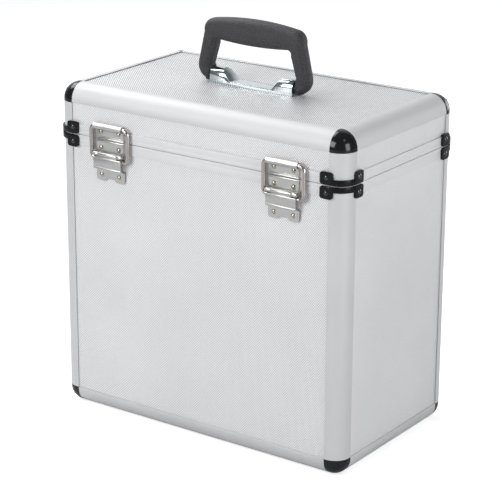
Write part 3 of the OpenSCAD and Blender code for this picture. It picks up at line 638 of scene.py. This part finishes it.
def back_rivet_seats(rise):
    """The same for the two hinges."""
    for x in (-HINGE_OFFSET, HINGE_OFFSET):
        for side in (-1, 0, 1):
            yield (x + side * HINGE_RIVET_GAP, HALF_DEPTH + HINGE_PLATE, SEAM + rise), (0, 1, 0)


def rivet_set(name, node, seats, material, body, rise=RIVET_DOME):
    """Domed heads at a list of seats, as one piece."""
    bm = bmesh.new()
    for seat, outward in seats:
        dome(bm, seat, outward, rise)
    add_piece(name, bm, material, body, [node])


rivet_set(
    "lid_plate_rivets", "lid_rivets",
    [*front_rivet_seats(STRIKE_RIVETS), *back_rivet_seats(HINGE_RIVET_RISE)],
    RIVET, LID,
)
rivet_set(
    "body_plate_rivets", "body_rivets",
    [
        *front_rivet_seats(BASE_RIVETS), *front_rivet_seats(FOOT_RIVETS),
        *back_rivet_seats(-HINGE_RIVET_RISE),
    ],
    RIVET, BODY,
)
rivet_set(
    "lid_black_rivets", "lid_clamp_rivets", clamp_rivet_seats(SEAM + CLAMP_RIVET_RISE),
    BLACK_RIVET, LID, CLAMP_DOME,
)
rivet_set(
    "body_black_rivets", "body_clamp_rivets", clamp_rivet_seats(SEAM - CLAMP_RIVET_RISE),
    BLACK_RIVET, BODY, CLAMP_DOME,
)


# ---------- Latches: X across, Y up from the parting line, Z outward from the front ----------

def on_front(bm, x):
    """Moves a part of a latch to its place on the front of the case."""
    place = Matrix(((1, 0, 0, x), (0, 0, -1, -HALF_DEPTH), (0, 1, 0, SEAM), (0, 0, 0, 1)))
    bmesh.ops.transform(bm, matrix=place, verts=bm.verts)


def side_hems(bm, low, high):
    """Folded edges along the two sides of a latch plate."""
    for side in (-1, 1):
        x = side * (PLATE_HALF - HEM)
        rod(bm, (x, low, PLATE - HEM / 2), (x, high, PLATE - HEM / 2), HEM, SHEET_LIP, 16)


def cross_rod(bm, half, height, proud, radius, lip, segments=32):
    """Round bar across a latch, at a height and at a distance from the front."""
    rod(bm, (-half, height, proud), (half, height, proud), radius, lip, segments)


def rolled_edge(bm):
    """Tube rolled from the top of the strike plate, with the dent of its lap."""
    middle = Vector((-PLATE_HALF, BAIL_PIVOT, ROLL))
    across = Matrix.Rotation(math.pi / 2, 4, "Y")
    ring = bmesh.ops.create_circle(
        bm, cap_ends=False, radius=ROLL, segments=48, matrix=Matrix.Translation(middle) @ across
    )["verts"]
    for vert in ring:
        turn = math.degrees(math.atan2(vert.co.y - middle.y, vert.co.z - middle.z))
        if abs(turn - LAP_ANGLE) < LAP_SPREAD:
            vert.co = vert.co.lerp(middle, LAP_DEPTH / ROLL)
    made = bmesh.ops.extrude_edge_only(bm, edges=edges_of(ring))["geom"]
    far = [g for g in made if isinstance(g, bmesh.types.BMVert)]
    bmesh.ops.translate(bm, vec=(2 * PLATE_HALF, 0, 0), verts=far)
    wall = list({f for v in ring for f in v.link_faces})
    bmesh.ops.recalc_face_normals(bm, faces=wall)
    outward = wall[0].calc_center_median() - Vector((0, BAIL_PIVOT, ROLL))
    if wall[0].normal.dot(outward) < 0:
        bmesh.ops.reverse_faces(bm, faces=wall)
    bmesh.ops.solidify(bm, geom=wall, thickness=ROLL_WALL)


def strike_plate():
    """Plate on the lid, its top edge rolled into a tube for the bail."""
    bm = bmesh.new()
    foot = SEAM_GAP / 2 + PLATE_BEAD
    block(bm, (-PLATE_HALF, foot, 0), (PLATE_HALF, BAIL_PIVOT - WIRE, PLATE), PLATE_ROUND, 3)
    cross_rod(bm, PLATE_HALF, foot, PLATE_BEAD, PLATE_BEAD, BEAD_LIP)
    cross_rod(bm, PLATE_HALF - RIB_INSET, foot + RIB_RISE, PLATE, RIB, SHEET_LIP, 12)
    side_hems(bm, foot, BAIL_PIVOT - ROLL)
    rolled_edge(bm)
    return bm


def latch_base():
    """Plate on the body: two lobes at its foot, drawn in behind the lever, ears for its pin."""
    head = -SEAM_GAP / 2 - PLATE_BEAD
    half = [
        (PLATE_HALF, head, BEAD_LIP), (PLATE_HALF, WAIST_TOP, WAIST_ROUND),
        (WAIST_HALF, WAIST_TOP - WAIST_STEP, WAIST_ROUND),
        (WAIST_HALF, WAIST_LOW + WAIST_STEP, WAIST_LOW_ROUND),
        (PLATE_HALF, WAIST_LOW, WAIST_LOW_ROUND), (PLATE_HALF, BASE_LOW, BASE_ROUND),
        (NOTCH_HALF, BASE_LOW, BASE_ROUND), (NOTCH_HALF, NOTCH_TOP, NOTCH_ROUND),
    ]
    bm = drawn(section([*[(-x, y, r) for x, y, r in half], *reversed(half)]), PLATE, SHEET_LIP)
    bmesh.ops.translate(bm, vec=(0, 0, PLATE / 2), verts=bm.verts)
    cross_rod(bm, PLATE_HALF, head, PLATE_BEAD, PLATE_BEAD, BEAD_LIP)
    side_hems(bm, PIN_DROP + KNUCKLE, head)
    web = PIN_DROP - KNUCKLE
    for side in (-1, 1):
        left, right = sorted((side * PLATE_HALF, side * (KNUCKLE_HALF + KNUCKLE_GAP)))
        rod(bm, (left, PIN_DROP, PIN_PROUD), (right, PIN_DROP, PIN_PROUD), KNUCKLE, EAR_LIP)
        block(bm, (left, web, SHEET_LIP), (right, web + PLATE, PIN_PROUD), BEAD_LIP)
    return bm


def lever():
    """Lever: knuckle on the pin, plate with rolled edges, shelf behind the bail."""
    bm = bmesh.new()
    top = PIN_DROP - KNUCKLE - LEVER_GAP - LEVER_ROLL
    cross_rod(bm, KNUCKLE_HALF, PIN_DROP, PIN_PROUD, KNUCKLE, BEAD_LIP)
    strap = LEVER_OUTER - STRAP_RECESS
    block(bm, (-KNUCKLE_HALF, top, strap - STRAP), (KNUCKLE_HALF, PIN_DROP, strap), SHEET_LIP)
    face = LEVER_OUTER - LEVER_RECESS
    block(bm, (-LEVER_HALF, LEVER_LOW, LEVER_INNER), (LEVER_HALF, top, face), LEVER_ROUND)
    cross_rod(bm, LEVER_HALF, top, LEVER_OUTER - LEVER_ROLL, LEVER_ROLL, LEVER_LIP)
    bead = LEVER_OUTER - LEVER_BEAD + BEAD_PROUD
    cross_rod(bm, LEVER_HALF, LEVER_LOW, bead, LEVER_BEAD, LEVER_LIP)
    shelf_top = BAIL_SEAT - WIRE - SHELF_GAP
    shelf_half = KNUCKLE_HALF - SHELF_INSET
    block(
        bm, (-shelf_half, shelf_top - PLATE, SHELF_DEPTH),
        (shelf_half, shelf_top, LEVER_OUTER - PLATE / 2), SHEET_LIP,
    )
    return bm


def bail():
    """Closed loop of wire, swept round a rounded rectangle."""
    bm = bmesh.new()
    straight = BAIL_HALF - BAIL_ROUND
    low, high = BAIL_SEAT + BAIL_ROUND, BAIL_PIVOT - BAIL_ROUND
    start = Matrix.Translation((-straight, BAIL_SEAT, ROLL)) @ Matrix.Rotation(math.pi / 2, 4, "Y")
    ring = edges_of(bmesh.ops.create_circle(
        bm, cap_ends=False, radius=WIRE, segments=20, matrix=start
    )["verts"])
    for run, centre in (
        ((2 * straight, 0, 0), (straight, low, ROLL)),
        ((0, high - low, 0), (straight, high, ROLL)),
        ((-2 * straight, 0, 0), (-straight, high, ROLL)),
        ((0, low - high, 0), (-straight, low, ROLL)),
    ):
        made = bmesh.ops.extrude_edge_only(bm, edges=ring)["geom"]
        moved = [g for g in made if isinstance(g, bmesh.types.BMVert)]
        bmesh.ops.translate(bm, vec=run, verts=moved)
        ring = [g for g in made if isinstance(g, bmesh.types.BMEdge)]
        turned = bmesh.ops.spin(
            bm, geom=ring, cent=centre, axis=(0, 0, 1), angle=math.pi / 2, steps=8, use_merge=False
        )["geom_last"]
        ring = [g for g in turned if isinstance(g, bmesh.types.BMEdge)]
    bmesh.ops.remove_doubles(bm, verts=bm.verts, dist=0.01 * MM)
    return bm


for side, x in (("left", -LATCH_OFFSET), ("right", LATCH_OFFSET)):
    for name, bm, place, material, body, node in (
        ("strike", strike_plate(), x, NICKEL, LID, "strike_plate"),
        ("base", latch_base(), x, NICKEL, BODY, "latch_base"),
        ("lever_plate", lever(), x, NICKEL, f"{side}_lever", "lever"),
        ("bail_wire", bail(), x + BAIL_SHIFT, NICKEL_WIRE, f"{side}_bail", "bail"),
    ):
        on_front(bm, place)
        add_piece(f"{side}_{name}", bm, material, body, [f"{side}_{node}"])

# Pieces that keep the CAD's shape, with their sharp edges rounded
for name, node, radius, body, slot, material in (
    ("lever_pivot_pins", "lever_pins", 0.2, BODY, "nickel_plate", NICKEL_WIRE),
    ("body_hinge_plates", "body_hinge_leaves", 0.25, BODY, "nickel_plate", NICKEL),
    ("lid_hinge_plates", "lid_hinge_leaves", 0.25, LID, "nickel_plate", NICKEL),
    ("hinge_pivot_pins", "hinge_pins", 0.3, BODY, "nickel_plate", NICKEL_WIRE),
    ("handle_pivot_pins", "handle_pivots", 0.3, HANDLE, "zinc_plate", ZINC),
    ("handle_base", "handle_bracket", 0.35, LID, "zinc_plate", ZINC),
    ("bracket_fixings", "bracket_screws", 0.2, LID, "zinc_plate", ZINC),
):
    bm = copy_of(node)
    soften(bm, sharp_edges(bm), radius * MM)
    add_piece(name, bm, material, body, [node], outward=False)


# ---------- Grip ----------

def grip():
    """Copy of the grip with its outline rounded, kept within its own side profile."""
    bm = copy_of("handle_grip")
    outline = [
        e for e in sharp_edges(bm, 50)
        if all(math.hypot(v.co.y, v.co.z - GRIP_PIVOT) > GRIP_CLEAR for v in e.verts)
    ]
    soften(bm, outline, GRIP_ROUND, 6, clamp=False)
    for vert in bm.verts:
        rise = vert.co.z - GRIP_PIVOT
        if rise >= 0:
            limit = GRIP_FOOT + (GRIP_HALF - GRIP_FOOT) * min(1, rise / GRIP_FLARE)
        else:
            limit = math.sqrt(max(0, GRIP_FOOT ** 2 - rise ** 2))
        vert.co.y = max(-limit, min(limit, vert.co.y))
    return bm


add_piece("grip_moulding", grip(), GRIP, HANDLE, ["handle_grip"], outward=False)


# ---------- Linings ----------

def foam_sheet(bm, low, high):
    """Sheet of foam with soft edges and a slightly uneven surface."""
    sheet = bmesh.new()
    block(sheet, low, high, FOAM_ROUND)
    long_edges = [e for e in sheet.edges if e.calc_length() > FOAM_LONG_EDGE]
    bmesh.ops.subdivide_edges(sheet, edges=long_edges, cuts=FOAM_CUTS, use_grid_fill=True)
    for vert in sheet.verts:
        wave = noise.noise(vert.co * FOAM_WAVES_PER_METRE)
        vert.co += vert.normal * FOAM_WAVE * wave
    pour(bm, sheet)


def lining(name, node, floor_z, rim_z, body):
    """Foam on the floor or the lid's top and on the four walls, up to the rim."""
    bm = bmesh.new()
    x, y = HALF_WIDTH - LEG, HALF_DEPTH - LEG
    up = 1 if rim_z > floor_z else -1
    near, far = sorted((floor_z, floor_z + up * LINING))
    foam_sheet(bm, (-x, -y, near), (x, y, far))
    bottom, top = sorted((floor_z + up * LINING, rim_z))
    for side in (-1, 1):
        low_y, high_y = sorted((side * y, side * (y - LINING)))
        foam_sheet(bm, (-x, low_y, bottom), (x, high_y, top))
        low_x, high_x = sorted((side * x, side * (x - LINING)))
        foam_sheet(bm, (low_x, -y + LINING, bottom), (high_x, y - LINING, top))
    piece = add_piece(name, bm, FOAM, body, [node])


lining("body_foam", "body_lining", LEG, BODY_TOP - LINING_DROP, BODY)
lining("lid_foam", "lid_lining", HEIGHT - LEG, LID_BOTTOM + LINING_DROP, LID)


# ---------- Floor, light and camera ----------

def seen_directly(tree):
    """1 for the camera's own rays and 0 for the rest."""
    return add_node(tree, "ShaderNodeLightPath", {}, "Is Camera Ray")


def add_floor():
    """Floor that the camera sees as white and that lights the case from below as grey."""
    bm = bmesh.new()
    bmesh.ops.create_grid(bm, x_segments=2, y_segments=2, size=14)
    mesh = bpy.data.meshes.new("floor")
    bm.to_mesh(mesh)
    bm.free()
    floor = new_object("floor", mesh)
    material, tree, shader, place = start_material(
        "pale_floor", Roughness=0.95, Specular_IOR_Level=0.05
    )
    seen = seen_directly(tree)
    colour = mixed(tree, seen, (0.60, 0.60, 0.61), (0.80, 0.80, 0.80))
    tree.links.new(colour, shader.inputs["Base Color"])
    shader.inputs["Emission Color"].default_value = (1, 1, 1, 1)
    tree.links.new(calc(tree, "MULTIPLY", seen, 0.62), shader.inputs["Emission Strength"])
    mesh.materials.append(material)


def add_softbox(name, direction, distance, size, power):
    """Square or oblong light at a distance from the middle of the case, turned to face it."""
    light = bpy.data.lights.new(name, "AREA")
    light.shape = "RECTANGLE"
    light.size, light.size_y = size
    light.energy = power
    box = new_object(name, light)
    aim = Vector(direction).normalized()
    place = Vector(MIDDLE) + aim * distance
    box.matrix_world = Matrix.Translation(place) @ aim.to_track_quat("Z", "Y").to_matrix().to_4x4()


def add_sky():
    """White for the camera. For the rest a dim studio with a bright backdrop behind the case."""
    world = bpy.data.worlds.new("studio")
    world.use_nodes = True
    tree = world.node_tree
    background = tree.nodes["Background"]
    direction = add_node(tree, "ShaderNodeTexCoord", {}, "Generated")
    facing = add_node(
        tree, "ShaderNodeVectorMath", {0: direction, 1: BACKDROP}, "Value", operation="DOT_PRODUCT"
    )
    glow = add_node(
        tree, "ShaderNodeMapRange", {"Value": facing, "From Min": 0.55, "From Max": 0.98},
        interpolation_type="SMOOTHSTEP",
    )
    studio = mixed(tree, glow, (0.17, 0.18, 0.185), (0.90, 0.92, 0.95))
    tree.links.new(
        mixed(tree, seen_directly(tree), studio, (1, 1, 1)), background.inputs["Color"]
    )
    bpy.context.scene.world = world


def add_camera():
    """Camera at the photograph's view."""
    camera = new_object("camera", bpy.data.cameras.new("camera"))
    camera.data.sensor_width = 36
    camera.data.lens = CAMERA_LENS
    camera.data.clip_end = 60
    camera.matrix_world = (
        Matrix.Translation(CAMERA_PLACE)
        @ Matrix.Rotation(math.radians(CAMERA_TURN), 4, "Z")
        @ Matrix.Rotation(math.radians(90 - CAMERA_DIP), 4, "X")
        @ Matrix.Rotation(math.radians(CAMERA_ROLL), 4, "Z")
    )
    bpy.context.scene.camera = camera


add_floor()
add_sky()
add_softbox("overhead_light", (-0.60, 0.04, 0.80), 1.5, (0.9, 0.9), 15.2)
add_softbox("front_light", (-0.32, -0.85, 0.42), 2.2, (1.1, 1.1), 26.5)
add_softbox("side_light", (0.94, -0.24, 0.24), 1.6, (0.65, 0.95), 11.2)
add_softbox("back_light", (0.30, 0.94, 0.12), 2.4, (1.1, 1.1), 14)
bpy.context.scene.view_settings.view_transform = "Standard"
add_camera()
